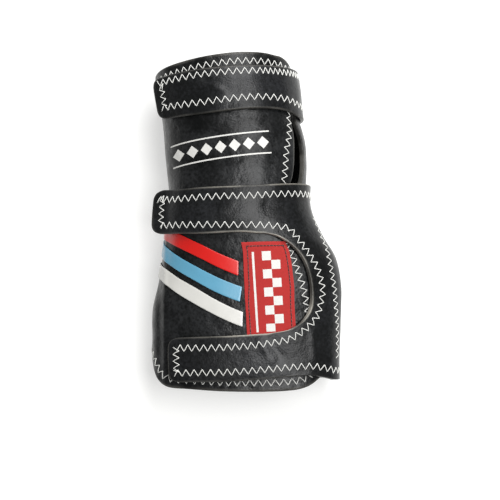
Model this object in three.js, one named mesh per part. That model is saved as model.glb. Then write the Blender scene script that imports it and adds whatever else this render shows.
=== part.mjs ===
// Right-hand bowling glove of the wrist-support kind, lying on its palm side.
// Millimetres, +Z up. +Y runs from the finger hem to the cuff, +X to the thumb side.
// Every piece is cut as a flat pattern and wrapped round one hollow form, as leather is.

import * as THREE from "three";

// Driving sizes
const LENGTH = 166; // back panel, from the finger hem to the cuff edge
const HAND_WIDE = 90; // hollow at the knuckles
const WRIST_WIDE = 65; // hollow at the wrist
const HAND_HIGH = 38; // outside height at the finger hem
const CUFF_HIGH = 54; // outside height at the cuff
const LEATHER = 2.4; // back and palm panels
const STRAP_LEATHER = 2; // both straps
const STRIPE_VINYL = 0.5;
const LABEL_CLOTH = 0.7;
const GAP = 0.3; // clearance between the panels, the stripes and the label
const STRAP_GAP = 0.5; // clearance under the straps
const STRIPE_WIDE = 7.1; // along the glove
const LABEL_LENGTH = 49;
const MIDDLE_FLARE = 4.9; // how far the middle strap's tab springs up
const WRIST_FLARE = 2.4;
const FLOOR_SINK = 2.5; // how much the palm is flattened where it rests

// Angles round the form in degrees: 0 is the back's middle, 90 the thumb side, 180 the palm's middle,
// and -90 the little-finger side
const SEAM = -118;
const STRAP_END = 130;
const WRIST_TAB = -66;
const MIDDLE_TAB = -75;
const LOWER_TAB = -45.5;
const MIDDLE_FLARE_FROM = -56;
const WRIST_FLARE_FROM = -44;
const STRIPE_START = -112;
const STEP_DOWN_FROM = 60; // where the hand strap comes down from the label's level
const STEP_DOWN_TO = 90;

const HAND = HAND_WIDE / 2;
const WRIST = WRIST_WIDE / 2;

// The form: at is a share of LENGTH from the finger hem, shift the middle's place across,
// half the hollow's half width, high the outside height, yaw the section's turn in degrees,
// square the section's roundness, where 2 is an ellipse
const FORM = [
  { at: -0.03, shift: -0.056 * HAND, half: 0.955 * HAND, high: 0.99 * HAND_HIGH, yaw: 0, square: 2.4 },
  { at: 0.1, shift: -0.073 * HAND, half: 0.957 * HAND, high: 1.065 * HAND_HIGH, yaw: 0, square: 2.4 },
  { at: 0.165, shift: -0.07 * HAND, half: 0.961 * HAND, high: 1.11 * HAND_HIGH, yaw: 0, square: 2.4 },
  { at: 0.25, shift: -0.058 * HAND, half: 0.969 * HAND, high: 1.17 * HAND_HIGH, yaw: 0, square: 2.35 },
  { at: 0.32, shift: -0.03 * HAND, half: 0.945 * HAND, high: 1.215 * HAND_HIGH, yaw: 0, square: 2.3 },
  { at: 0.4, shift: -0.04 * HAND, half: 0.887 * HAND, high: 0.893 * CUFF_HIGH, yaw: 1.5, square: 2.25 },
  { at: 0.465, shift: -0.098 * HAND, half: 1.1 * WRIST, high: 0.926 * CUFF_HIGH, yaw: 3, square: 2.2 },
  { at: 0.54, shift: -0.147 * HAND, half: 0.997 * WRIST, high: 0.959 * CUFF_HIGH, yaw: 5, square: 2.2 },
  { at: 0.62, shift: -0.138 * HAND, half: 0.991 * WRIST, high: 0.981 * CUFF_HIGH, yaw: 6, square: 2.15 },
  { at: 0.67, shift: -0.142 * HAND, half: 1.005 * WRIST, high: 0.988 * CUFF_HIGH, yaw: 6.3, square: 2.13 },
  { at: 0.74, shift: -0.164 * HAND, half: 1.009 * WRIST, high: 1.0 * CUFF_HIGH, yaw: 6.5, square: 2.1 },
  { at: 0.82, shift: -0.218 * HAND, half: 0.972 * WRIST, high: 1.004 * CUFF_HIGH, yaw: 6.5, square: 2.1 },
  { at: 0.89, shift: -0.249 * HAND, half: 0.975 * WRIST, high: 1.006 * CUFF_HIGH, yaw: 6.5, square: 2.1 },
  { at: 0.96, shift: -0.284 * HAND, half: 0.991 * WRIST, high: 1.009 * CUFF_HIGH, yaw: 6.5, square: 2.1 },
  { at: 1.02, shift: -0.31 * HAND, half: 1.015 * WRIST, high: 1.015 * CUFF_HIGH, yaw: 6.5, square: 2.1 },
];

// Edges that run round the glove: low and high are shares of LENGTH at each turn
const BACK_EDGES = [
  { turn: -118, low: 0.139, high: 0.97 },
  { turn: -90, low: 0.111, high: 0.98 },
  { turn: -81, low: 0.08, high: 0.984 },
  { turn: -72, low: 0.048, high: 0.987 },
  { turn: -62, low: 0.027, high: 0.99 },
  { turn: -52, low: 0.015, high: 0.992 },
  { turn: -34, low: 0.009, high: 0.995 },
  { turn: -10, low: 0.001, high: 0.999 },
  { turn: 10, low: 0.0, high: 1.0 },
  { turn: 30, low: 0.006, high: 0.996 },
  { turn: 40, low: 0.016, high: 0.992 },
  { turn: 47, low: 0.029, high: 0.988 },
  { turn: 56, low: 0.05, high: 0.985 },
  { turn: 71, low: 0.08, high: 0.967 },
  { turn: 80, low: 0.1, high: 0.945 },
];
const PALM_EDGES = [
  { turn: 60, low: 0.02, high: 0.945 },
  { turn: 95, low: 0.045, high: 0.945 },
  { turn: 120, low: 0.07, high: 0.95 },
  { turn: 150, low: 0.105, high: 0.96 },
  { turn: 180, low: 0.12, high: 0.965 },
  { turn: 210, low: 0.13, high: 0.967 },
  { turn: 242, low: 0.139, high: 0.97 },
];
const WRIST_STRAP_EDGES = [
  { turn: -66, low: 0.837, high: 0.962 },
  { turn: -20, low: 0.825, high: 0.96 },
  { turn: 20, low: 0.824, high: 0.955 },
  { turn: 50, low: 0.816, high: 0.95 },
  { turn: 66, low: 0.806, high: 0.949 },
  { turn: 90, low: 0.801, high: 0.948 },
  { turn: 130, low: 0.807, high: 0.946 },
];
const MIDDLE_EDGES = [
  { turn: -75, low: 0.488, high: 0.631 },
  { turn: -52, low: 0.478, high: 0.616 },
  { turn: -26, low: 0.467, high: 0.608 },
  { turn: 0, low: 0.464, high: 0.599 },
  { turn: 13, low: 0.458, high: 0.596 },
  { turn: 55, low: 0.484, high: 0.598 },
  { turn: 88, low: 0.5, high: 0.6 },
  { turn: 130, low: 0.504, high: 0.598 },
];
const LOWER_EDGES = [
  { turn: -45.5, low: 0.028, high: 0.158 },
  { turn: -7, low: 0.028, high: 0.161 },
  { turn: 9, low: 0.036, high: 0.168 },
  { turn: 39, low: 0.048, high: 0.173 },
  { turn: 52, low: 0.044, high: 0.175 },
  { turn: 66, low: 0.04, high: 0.176 },
  { turn: 88, low: 0.046, high: 0.178 },
  { turn: 130, low: 0.06, high: 0.18 },
];

// Edges that run along the glove: turn at each share of LENGTH
const BACK_THUMB_EDGE = [
  { at: 0.0, turn: 55.5 },
  { at: 0.13, turn: 50.5 },
  { at: 0.25, turn: 46 },
  { at: 0.37, turn: 42 },
  { at: 0.42, turn: 36.5 },
  { at: 0.48, turn: 36 },
  { at: 0.55, turn: 40 },
  { at: 0.605, turn: 50.5 },
  { at: 0.65, turn: 53.5 },
  { at: 0.72, turn: 55.7 },
  { at: 0.79, turn: 59.2 },
  { at: 0.85, turn: 64 },
  { at: 0.91, turn: 71 },
  { at: 1.0, turn: 80 },
];
const PALM_THUMB_EDGE = [
  { at: 0.04, turn: 96 },
  { at: 0.16, turn: 98 },
  { at: 0.21, turn: 112 },
  { at: 0.27, turn: 130 },
  { at: 0.34, turn: 137 },
  { at: 0.42, turn: 128 },
  { at: 0.48, turn: 108 },
  { at: 0.53, turn: 84 },
  { at: 0.58, turn: 64 },
  { at: 0.61, turn: 60 },
  { at: 0.635, turn: 67.5 },
  { at: 0.67, turn: 71.5 },
  { at: 0.75, turn: 72 },
  { at: 0.79, turn: 69 },
  { at: 0.83, turn: 68 },
  { at: 0.88, turn: 78 },
  { at: 0.97, turn: 92 },
];

// The band of the hand strap between its two straps, from the middle strap down to the lower one:
// the rounded inner edge round the label, and the edge on the thumb side
const BAND = [
  { innerTurn: 13, innerAt: 0.458, thumbTurn: 88, thumbAt: 0.5 },
  { innerTurn: 21.1, innerAt: 0.45, thumbTurn: 86, thumbAt: 0.475 },
  { innerTurn: 26.7, innerAt: 0.434, thumbTurn: 84, thumbAt: 0.448 },
  { innerTurn: 30.7, innerAt: 0.414, thumbTurn: 82, thumbAt: 0.416 },
  { innerTurn: 34.7, innerAt: 0.382, thumbTurn: 80, thumbAt: 0.382 },
  { innerTurn: 37, innerAt: 0.342, thumbTurn: 78, thumbAt: 0.346 },
  { innerTurn: 38, innerAt: 0.302, thumbTurn: 77, thumbAt: 0.31 },
  { innerTurn: 38.5, innerAt: 0.268, thumbTurn: 76.5, thumbAt: 0.278 },
  { innerTurn: 37.3, innerAt: 0.238, thumbTurn: 77, thumbAt: 0.252 },
  { innerTurn: 32.5, innerAt: 0.208, thumbTurn: 78.5, thumbAt: 0.229 },
  { innerTurn: 26.6, innerAt: 0.189, thumbTurn: 81, thumbAt: 0.21 },
  { innerTurn: 20.5, innerAt: 0.177, thumbTurn: 84, thumbAt: 0.194 },
  { innerTurn: 10, innerAt: 0.168, thumbTurn: 88, thumbAt: 0.178 },
];

// Middle lines of the stripes
const RED_LINE = [
  { turn: -112, at: 0.53 },
  { turn: -75, at: 0.491 },
  { turn: -49, at: 0.454 },
  { turn: -29, at: 0.416 },
  { turn: -16, at: 0.386 },
  { turn: 0, at: 0.351 },
];
const BLUE_LINE = [
  { turn: -112, at: 0.476 },
  { turn: -90, at: 0.452 },
  { turn: -68, at: 0.419 },
  { turn: -51.5, at: 0.389 },
  { turn: -33, at: 0.351 },
  { turn: -16, at: 0.313 },
  { turn: 0, at: 0.28 },
];
const WHITE_LINE = [
  { turn: -112, at: 0.398 },
  { turn: -90, at: 0.38 },
  { turn: -72, at: 0.36 },
  { turn: -60, at: 0.342 },
  { turn: -47, at: 0.317 },
  { turn: -30, at: 0.283 },
  { turn: -16, at: 0.25 },
  { turn: 0, at: 0.21 },
];

// The label's sides lean a little with the glove
const LABEL_TOP = 0.436;
const LABEL_SIDES = [
  { at: 0.16, left: 1.1, right: 29.8 },
  { at: 0.25, left: 0.2, right: 27.8 },
  { at: 0.35, left: -1.5, right: 26.6 },
  { at: 0.436, left: -1.2, right: 27.5 },
];

// Degrees between each stripe's end and the label
const RED_CLEAR = 2.6;
const BLUE_CLEAR = 1.6;
const WHITE_CLEAR = 1.0;

// How finely each piece is faceted
const BACK_CELLS = { across: 26, along: 26 };
const PALM_CELLS = { across: 24, along: 24 };
const STRIPE_CELLS = { across: 18, along: 2 };
const LABEL_CELLS = { across: 6, along: 10 };
const TAB_CELLS = 14;
const BAND_CELLS = 7;
const ARM_CELLS = 6;

// Shares of a strap's width at which it is faceted, closer at the rounded corners of its tab,
// with tuck, the share of the corner's radius that the end draws in there
const STRAP_ROWS = [
  { share: 0, tuck: 1 },
  { share: 0.06, tuck: 0.42 },
  { share: 0.22, tuck: 0 },
  { share: 0.5, tuck: 0 },
  { share: 0.78, tuck: 0 },
  { share: 0.94, tuck: 0.42 },
  { share: 1, tuck: 1 },
];

// Degrees that a tab's corner radius takes round the form
const TAB_CORNER = 7;
const WRIST_TAB_CORNER = 6;

const radians = THREE.MathUtils.degToRad;
const lerp = THREE.MathUtils.lerp;

// Smooth curve through one column of a table, with straight ends
function through(rows, by, column, x) {
  const last = rows.length - 1;
  const slope = (i) => {
    const a = rows[Math.max(i - 1, 0)];
    const b = rows[Math.min(i + 1, last)];
    return (b[column] - a[column]) / (b[by] - a[by]);
  };
  if (x <= rows[0][by]) return rows[0][column] + slope(0) * (x - rows[0][by]);
  if (x >= rows[last][by]) return rows[last][column] + slope(last) * (x - rows[last][by]);
  let i = 0;
  while (x > rows[i + 1][by]) i += 1;
  const width = rows[i + 1][by] - rows[i][by];
  const t = (x - rows[i][by]) / width;
  const bend = t * t * (3 - 2 * t);
  const leave = t * (1 - t) * (1 - t) * width * slope(i);
  const arrive = t * t * (1 - t) * width * slope(i + 1);
  return lerp(rows[i][column], rows[i + 1][column], bend) + leave - arrive;
}

// A point round the form, lifted off the hollow's wall
function onForm(turn, at, lift) {
  const half = through(FORM, "at", "half", at);
  const middle = through(FORM, "at", "high", at) / 2;
  const power = 2 / through(FORM, "at", "square", at);
  const heading = radians(through(FORM, "at", "yaw", at));
  const sine = Math.sin(radians(turn));
  const cosine = Math.cos(radians(turn));
  const across = (half + lift) * Math.sign(sine) * Math.abs(sine) ** power;
  const depth = middle - LEATHER + lift + (cosine < 0 ? FLOOR_SINK * cosine * cosine : 0);
  const height = middle + depth * Math.sign(cosine) * Math.abs(cosine) ** power;
  return new THREE.Vector3(
    through(FORM, "at", "shift", at) + across * Math.cos(heading),
    LENGTH * at + across * Math.sin(heading),
    Math.max(height, LEATHER - lift),
  );
}

// A closed wall from a grid of pattern points: its outside, its inside and its cut edges
function wall(columns, rows, place, lift, thickness, present = () => true) {
  const points = [];
  for (let side = 0; side < 2; side += 1) {
    for (let j = 0; j <= rows; j += 1) {
      for (let i = 0; i <= columns; i += 1) {
        const { turn, at } = place(i, j);
        points.push(onForm(turn, at, lift(turn) + side * thickness));
      }
    }
  }
  const point = (i, j, side) => side * (columns + 1) * (rows + 1) + j * (columns + 1) + i;
  const has = (i, j) => i >= 0 && j >= 0 && i < columns && j < rows && present(i, j);
  const faces = [];
  const quad = (a, b, c, d) => faces.push(a, b, c, a, c, d);
  for (let j = 0; j < rows; j += 1) {
    for (let i = 0; i < columns; i += 1) {
      if (!has(i, j)) continue;
      const corners = [[i, j], [i + 1, j], [i + 1, j + 1], [i, j + 1]];
      const beside = [has(i, j - 1), has(i + 1, j), has(i, j + 1), has(i - 1, j)];
      quad(...corners.map(([x, y]) => point(x, y, 1)));
      quad(...corners.map(([x, y]) => point(x, y, 0)).reverse());
      corners.forEach(([x, y], k) => {
        if (beside[k]) return;
        const [nextX, nextY] = corners[(k + 1) % 4];
        quad(point(x, y, 0), point(nextX, nextY, 0), point(nextX, nextY, 1), point(x, y, 1));
      });
    }
  }
  const used = [...new Set(faces)];
  const newIndex = new Map(used.map((index, order) => [index, order]));
  const geometry = new THREE.BufferGeometry();
  const positions = used.flatMap((index) => points[index].toArray());
  geometry.setAttribute("position", new THREE.Float32BufferAttribute(positions, 3));
  geometry.setIndex(faces.map((index) => newIndex.get(index)));
  geometry.computeVertexNormals();
  return geometry;
}

// Degrees round the form that half of GAP takes at the seam
const SEAM_HALF_GAP = THREE.MathUtils.radToDeg(GAP / WRIST);

const onPanel = () => LEATHER + GAP;

// A tab springs up towards its end
function flare(turn, from, to, rise) {
  return rise * THREE.MathUtils.clamp((turn - from) / (to - from), 0, 1) ** 2;
}

const strapOnPanel = LEATHER + STRAP_GAP;
const wristStrapLift = (turn) => strapOnPanel + flare(turn, WRIST_FLARE_FROM, WRIST_TAB, WRIST_FLARE);

// The hand strap clears the label and comes down onto the palm panel round the thumb side
const LABEL_CLEAR = LABEL_CLOTH + GAP;
function handStrapLift(turn) {
  const down = THREE.MathUtils.smoothstep(turn, STEP_DOWN_FROM, STEP_DOWN_TO);
  const spring = flare(turn, MIDDLE_FLARE_FROM, MIDDLE_TAB, MIDDLE_FLARE);
  return strapOnPanel + LABEL_CLEAR * (1 - down) + spring;
}

function backPanel() {
  const { across, along } = BACK_CELLS;
  const place = (i, j) => {
    const share = j / along;
    const turn = lerp(SEAM + SEAM_HALF_GAP, through(BACK_THUMB_EDGE, "at", "turn", share), i / across);
    const low = through(BACK_EDGES, "turn", "low", turn);
    const high = through(BACK_EDGES, "turn", "high", turn);
    return { turn, at: lerp(low, high, share) };
  };
  return wall(across, along, place, () => 0, LEATHER);
}

function palmPanel() {
  const { across, along } = PALM_CELLS;
  const place = (i, j) => {
    const share = j / along;
    const from = through(PALM_THUMB_EDGE, "at", "turn", share);
    const turn = lerp(from, SEAM + 360 - SEAM_HALF_GAP, i / across);
    const low = through(PALM_EDGES, "turn", "low", turn);
    const high = through(PALM_EDGES, "turn", "high", turn);
    return { turn, at: lerp(low, high, share) };
  };
  return wall(across, along, place, () => 0, LEATHER);
}

// Turn of a strap's column, its tab drawn in at the corners
function strapTurn(tab, inner, i, row) {
  return lerp(tab + TAB_CORNER * row.tuck, inner, i / TAB_CELLS);
}

function wristStrap() {
  const columns = TAB_CELLS + BAND_CELLS + ARM_CELLS;
  const place = (i, j) => {
    const row = STRAP_ROWS[j];
    const turn = lerp(WRIST_TAB + WRIST_TAB_CORNER * row.tuck, STRAP_END, i / columns);
    const low = through(WRIST_STRAP_EDGES, "turn", "low", turn);
    const high = through(WRIST_STRAP_EDGES, "turn", "high", turn);
    return { turn, at: lerp(low, high, row.share) };
  };
  return wall(columns, STRAP_ROWS.length - 1, place, wristStrapLift, STRAP_LEATHER);
}

function handStrap() {
  const strapRows = STRAP_ROWS.length - 1;
  const bandRows = BAND.length - 1;
  const columns = TAB_CELLS + BAND_CELLS + ARM_CELLS;
  const inStrap = (edges, tab, key, i, j) => {
    const row = STRAP_ROWS[j];
    let turn = strapTurn(tab, key.innerTurn, i, row);
    if (i > TAB_CELLS) turn = lerp(key.innerTurn, key.thumbTurn, (i - TAB_CELLS) / BAND_CELLS);
    if (i > TAB_CELLS + BAND_CELLS) {
      turn = lerp(key.thumbTurn, STRAP_END, (i - TAB_CELLS - BAND_CELLS) / ARM_CELLS);
    }
    const low = through(edges, "turn", "low", turn);
    const high = through(edges, "turn", "high", turn);
    return { turn, at: lerp(low, high, row.share) };
  };
  const place = (i, j) => {
    if (j <= strapRows) return inStrap(LOWER_EDGES, LOWER_TAB, BAND[bandRows], i, j);
    if (j >= strapRows + bandRows) {
      return inStrap(MIDDLE_EDGES, MIDDLE_TAB, BAND[0], i, j - strapRows - bandRows);
    }
    const row = BAND[bandRows - (j - strapRows)];
    const share = THREE.MathUtils.clamp((i - TAB_CELLS) / BAND_CELLS, 0, 1);
    return {
      turn: lerp(row.innerTurn, row.thumbTurn, share),
      at: lerp(row.innerAt, row.thumbAt, share),
    };
  };
  const present = (i, j) => {
    const inBand = i >= TAB_CELLS && i < TAB_CELLS + BAND_CELLS;
    return inBand || j < strapRows || j >= strapRows + bandRows;
  };
  return wall(columns, 2 * strapRows + bandRows, place, handStrapLift, STRAP_LEATHER, present);
}

function stripe(line, clear) {
  const { across, along } = STRIPE_CELLS;
  const halfShare = STRIPE_WIDE / 2 / LENGTH;
  const end = through(LABEL_SIDES, "at", "left", line[line.length - 1].at) - clear;
  const place = (i, j) => {
    const turn = lerp(STRIPE_START, end, i / across);
    return { turn, at: through(line, "turn", "at", turn) + halfShare * ((2 * j) / along - 1) };
  };
  return wall(across, along, place, onPanel, STRIPE_VINYL);
}

function label() {
  const { across, along } = LABEL_CELLS;
  const place = (i, j) => {
    const at = LABEL_TOP - (LABEL_LENGTH / LENGTH) * (1 - j / along);
    const left = through(LABEL_SIDES, "at", "left", at);
    const right = through(LABEL_SIDES, "at", "right", at);
    return { turn: lerp(left, right, i / across), at };
  };
  return wall(across, along, place, onPanel, LABEL_CLOTH);
}

const blackLeather = { color: 0x242526, roughness: 0.42, metalness: 0 };
const strapLeather = { color: 0x28292b, roughness: 0.4, metalness: 0 };
const vinyl = { roughness: 0.25, metalness: 0 };

const PIECES = [
  { name: "back_panel", geometry: backPanel(), look: blackLeather },
  { name: "palm_panel", geometry: palmPanel(), look: blackLeather },
  { name: "wrist_strap", geometry: wristStrap(), look: strapLeather },
  { name: "hand_strap", geometry: handStrap(), look: strapLeather },
  { name: "stripe_red", geometry: stripe(RED_LINE, RED_CLEAR), look: { ...vinyl, color: 0xe4362c } },
  { name: "stripe_blue", geometry: stripe(BLUE_LINE, BLUE_CLEAR), look: { ...vinyl, color: 0x5fa8d0 } },
  { name: "stripe_white", geometry: stripe(WHITE_LINE, WHITE_CLEAR), look: { ...vinyl, color: 0xecebe7 } },
  { name: "label", geometry: label(), look: { color: 0xc5353a, roughness: 0.8, metalness: 0 } },
];

const glove = new THREE.Group();
for (const { name, geometry, look } of PIECES) {
  const mesh = new THREE.Mesh(geometry, new THREE.MeshStandardMaterial(look));
  mesh.name = name;
  glove.add(mesh);
}

// The origin is the middle of the box that the glove fills, on the surface it rests on
const box = new THREE.Box3().setFromObject(glove);
const middle = box.getCenter(new THREE.Vector3());
glove.position.set(-middle.x, -middle.y, -box.min.z);

export default glove;
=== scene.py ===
# Looks of a right-hand bowling glove of the wrist-support kind, lying on its palm side.
# The leather is cut as flat patterns and wrapped round one hollow form, as the part's solids are.
# The form and the pattern tables are in millimetres and in the part's own shares and angles.
# Meshes are in metres, in the part's frame: +Y runs to the cuff, +X to the thumb side, +Z up.

import math
from collections import namedtuple

import bmesh
import bpy
from mathutils import Matrix, Vector, noise
from mathutils.bvhtree import BVHTree


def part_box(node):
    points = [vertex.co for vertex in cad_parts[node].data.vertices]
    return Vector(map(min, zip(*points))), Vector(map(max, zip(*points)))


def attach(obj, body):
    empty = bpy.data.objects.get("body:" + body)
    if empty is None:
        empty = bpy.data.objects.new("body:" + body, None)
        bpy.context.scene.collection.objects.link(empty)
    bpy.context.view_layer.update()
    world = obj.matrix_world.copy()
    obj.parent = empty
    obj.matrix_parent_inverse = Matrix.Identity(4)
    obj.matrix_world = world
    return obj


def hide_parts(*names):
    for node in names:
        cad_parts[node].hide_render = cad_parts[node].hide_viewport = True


bl_info = {
    "name": "Bowling Glove",
    "version": (1, 0, 0),
    "blender": (4, 5, 0),
    "location": "View3D > Sidebar > Bowling Glove",
    "description": "Builds a stitched leather bowling glove round its packed solids",
    "category": "Object",
}

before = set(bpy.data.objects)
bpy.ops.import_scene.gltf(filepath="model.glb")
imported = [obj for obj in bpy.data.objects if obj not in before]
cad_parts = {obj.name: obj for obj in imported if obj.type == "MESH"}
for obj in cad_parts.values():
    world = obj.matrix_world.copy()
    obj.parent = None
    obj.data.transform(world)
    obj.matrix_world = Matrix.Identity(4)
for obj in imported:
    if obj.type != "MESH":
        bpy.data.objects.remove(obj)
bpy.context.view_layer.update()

MM = 0.001

# Sizes that the form and the patterns share with the solids
LENGTH = 166  # back panel, from the finger hem to the cuff edge
HAND = 90 / 2
WRIST = 65 / 2
HAND_HIGH = 38
CUFF_HIGH = 54
LEATHER = 2.4
STRAP_LEATHER = 2
STRIPE_VINYL = 0.5
LABEL_CLOTH = 0.7
GAP = 0.3
STRAP_GAP = 0.5
STRIPE_WIDE = 7.1
LABEL_LENGTH = 49
MIDDLE_FLARE = 4.9
WRIST_FLARE = 2.4
FLOOR_SINK = 2.5

# Degrees round the form: 0 is the back's middle, 90 the thumb side, -90 the little-finger side
SEAM = -118
STRAP_END = 130
WRIST_TAB = -66
MIDDLE_TAB = -75
LOWER_TAB = -45.5
MIDDLE_FLARE_FROM = -56
WRIST_FLARE_FROM = -44
STRIPE_START = -112
STEP_DOWN_FROM = 60
STEP_DOWN_TO = 90
TAB_CORNER = 7
WRIST_TAB_CORNER = 6
# The dressed panels all but meet at the seam, where the solids keep apart, so no light shows through
SEAM_CLOSED = 0.03
SEAM_HALF_GAP = math.degrees(SEAM_CLOSED / WRIST)


def table(kind, *rows):
    """Rows with named columns."""
    return [kind(*row) for row in rows]


# The form: place along, place across, half width, height, turn in degrees, roundness
FormRow = namedtuple("FormRow", "at shift half high yaw square")
FORM = table(
    FormRow,
    (-0.03, -0.056 * HAND, 0.955 * HAND, 0.99 * HAND_HIGH, 0, 2.4),
    (0.1, -0.073 * HAND, 0.957 * HAND, 1.065 * HAND_HIGH, 0, 2.4),
    (0.165, -0.07 * HAND, 0.961 * HAND, 1.11 * HAND_HIGH, 0, 2.4),
    (0.25, -0.058 * HAND, 0.969 * HAND, 1.17 * HAND_HIGH, 0, 2.35),
    (0.32, -0.03 * HAND, 0.945 * HAND, 1.215 * HAND_HIGH, 0, 2.3),
    (0.4, -0.04 * HAND, 0.887 * HAND, 0.893 * CUFF_HIGH, 1.5, 2.25),
    (0.465, -0.098 * HAND, 1.1 * WRIST, 0.926 * CUFF_HIGH, 3, 2.2),
    (0.54, -0.147 * HAND, 0.997 * WRIST, 0.959 * CUFF_HIGH, 5, 2.2),
    (0.62, -0.138 * HAND, 0.991 * WRIST, 0.981 * CUFF_HIGH, 6, 2.15),
    (0.67, -0.142 * HAND, 1.005 * WRIST, 0.988 * CUFF_HIGH, 6.3, 2.13),
    (0.74, -0.164 * HAND, 1.009 * WRIST, 1.0 * CUFF_HIGH, 6.5, 2.1),
    (0.82, -0.218 * HAND, 0.972 * WRIST, 1.004 * CUFF_HIGH, 6.5, 2.1),
    (0.89, -0.249 * HAND, 0.975 * WRIST, 1.006 * CUFF_HIGH, 6.5, 2.1),
    (0.96, -0.284 * HAND, 0.991 * WRIST, 1.009 * CUFF_HIGH, 6.5, 2.1),
    (1.02, -0.31 * HAND, 1.015 * WRIST, 1.015 * CUFF_HIGH, 6.5, 2.1),
)

# Edges that run round the glove
AcrossRow = namedtuple("AcrossRow", "turn low high")
BACK_EDGES = table(
    AcrossRow,
    (-118, 0.139, 0.97),
    (-90, 0.111, 0.98),
    (-81, 0.08, 0.984),
    (-72, 0.048, 0.987),
    (-62, 0.027, 0.99),
    (-52, 0.015, 0.992),
    (-34, 0.009, 0.995),
    (-10, 0.001, 0.999),
    (10, 0.0, 1.0),
    (30, 0.006, 0.996),
    (40, 0.016, 0.992),
    (47, 0.029, 0.988),
    (56, 0.05, 0.985),
    (71, 0.08, 0.967),
    (80, 0.1, 0.945),
)
PALM_EDGES = table(
    AcrossRow,
    (60, 0.02, 0.945),
    (95, 0.045, 0.945),
    (120, 0.07, 0.95),
    (150, 0.105, 0.96),
    (180, 0.12, 0.965),
    (210, 0.13, 0.967),
    (242, 0.139, 0.97),
)
WRIST_STRAP_EDGES = table(
    AcrossRow,
    (-66, 0.837, 0.962),
    (-20, 0.825, 0.96),
    (20, 0.824, 0.955),
    (50, 0.816, 0.95),
    (66, 0.806, 0.949),
    (90, 0.801, 0.948),
    (130, 0.807, 0.946),
)
MIDDLE_EDGES = table(
    AcrossRow,
    (-75, 0.488, 0.631),
    (-52, 0.478, 0.616),
    (-26, 0.467, 0.608),
    (0, 0.464, 0.599),
    (13, 0.458, 0.596),
    (55, 0.484, 0.598),
    (88, 0.5, 0.6),
    (130, 0.504, 0.598),
)
LOWER_EDGES = table(
    AcrossRow,
    (-45.5, 0.028, 0.158),
    (-7, 0.028, 0.161),
    (9, 0.036, 0.168),
    (39, 0.048, 0.173),
    (52, 0.044, 0.175),
    (66, 0.04, 0.176),
    (88, 0.046, 0.178),
    (130, 0.06, 0.18),
)

# Edges that run along the glove
AlongRow = namedtuple("AlongRow", "at turn")
BACK_THUMB_EDGE = table(
    AlongRow,
    (0.0, 55.5), (0.13, 50.5), (0.25, 46), (0.37, 42),
    (0.42, 36.5), (0.48, 36), (0.55, 40), (0.605, 50.5),
    (0.65, 53.5), (0.72, 55.7), (0.79, 59.2), (0.85, 64),
    (0.91, 71), (1.0, 80),
)
PALM_THUMB_EDGE = table(
    AlongRow,
    (0.04, 96), (0.16, 98), (0.21, 112), (0.27, 130),
    (0.34, 137), (0.42, 128), (0.48, 108), (0.53, 84),
    (0.58, 64), (0.61, 60), (0.635, 67.5), (0.67, 71.5),
    (0.75, 72), (0.79, 69), (0.83, 68), (0.88, 78),
    (0.97, 92),
)

# The band of the hand strap, from the middle strap down to the lower one
BandRow = namedtuple("BandRow", "inner_turn inner_at thumb_turn thumb_at")
BAND = table(
    BandRow,
    (13, 0.458, 88, 0.5),
    (21.1, 0.45, 86, 0.475),
    (26.7, 0.434, 84, 0.448),
    (30.7, 0.414, 82, 0.416),
    (34.7, 0.382, 80, 0.382),
    (37, 0.342, 78, 0.346),
    (38, 0.302, 77, 0.31),
    (38.5, 0.268, 76.5, 0.278),
    (37.3, 0.238, 77, 0.252),
    (32.5, 0.208, 78.5, 0.229),
    (26.6, 0.189, 81, 0.21),
    (20.5, 0.177, 84, 0.194),
    (10, 0.168, 88, 0.178),
)

# Middle lines of the stripes
STRIPE_LINES = {
    "stripe_red": [
        (-112, 0.53), (-75, 0.491), (-49, 0.454), (-29, 0.416),
        (-16, 0.386), (0, 0.351),
    ],
    "stripe_blue": [
        (-112, 0.476), (-90, 0.452), (-68, 0.419), (-51.5, 0.389),
        (-33, 0.351), (-16, 0.313), (0, 0.28),
    ],
    "stripe_white": [
        (-112, 0.398), (-90, 0.38), (-72, 0.36), (-60, 0.342),
        (-47, 0.317), (-30, 0.283), (-16, 0.25), (0, 0.21),
    ],
}
# Degrees between each stripe's end and the label
STRIPE_CLEAR = {"stripe_red": 2.6, "stripe_blue": 1.6, "stripe_white": 1.0}

LABEL_TOP = 0.436
SideRow = namedtuple("SideRow", "at left right")
LABEL_SIDES = table(
    SideRow,
    (0.16, 1.1, 29.8),
    (0.25, 0.2, 27.8),
    (0.35, -1.5, 26.6),
    (0.436, -1.2, 27.5),
)

# Middle lines of the stitch rows that don't keep to one distance from an edge
SeamPoint = namedtuple("SeamPoint", "turn at")
BACK_THUMB_SEAM = table(
    SeamPoint,
    (71.5, 0.955), (66, 0.91), (60.5, 0.86), (58.2, 0.82),
    (51.5, 0.76), (44.1, 0.699), (41.8, 0.646), (40.3, 0.605),
    (35, 0.545), (30, 0.48), (28.4, 0.425), (29.5, 0.395),
    (30.4, 0.367), (33.8, 0.318), (35.8, 0.289), (38.2, 0.252),
    (42, 0.19), (46, 0.1),
)
MIDDLE_LOW_SEAM = table(
    SeamPoint,
    (-67, 0.5135), (-63.4, 0.5113), (-26.2, 0.4947), (0.2, 0.4846),
    (15.6, 0.4802), (26.1, 0.475), (33.2, 0.4697),
)
ROUND_SEAM = table(
    SeamPoint,
    (33.6, 0.4692), (36.2, 0.4446), (38.3, 0.4157), (41, 0.3895),
    (44, 0.3642), (46.1, 0.3287), (47.4, 0.2974), (46, 0.2644),
    (42.9, 0.2212), (36.6, 0.1923), (30.8, 0.1723), (23.4, 0.1529),
    (15.6, 0.1436), (4.8, 0.1344), (-2.9, 0.1286), (-15.4, 0.1261),
    (-37.8, 0.1276),
)
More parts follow.
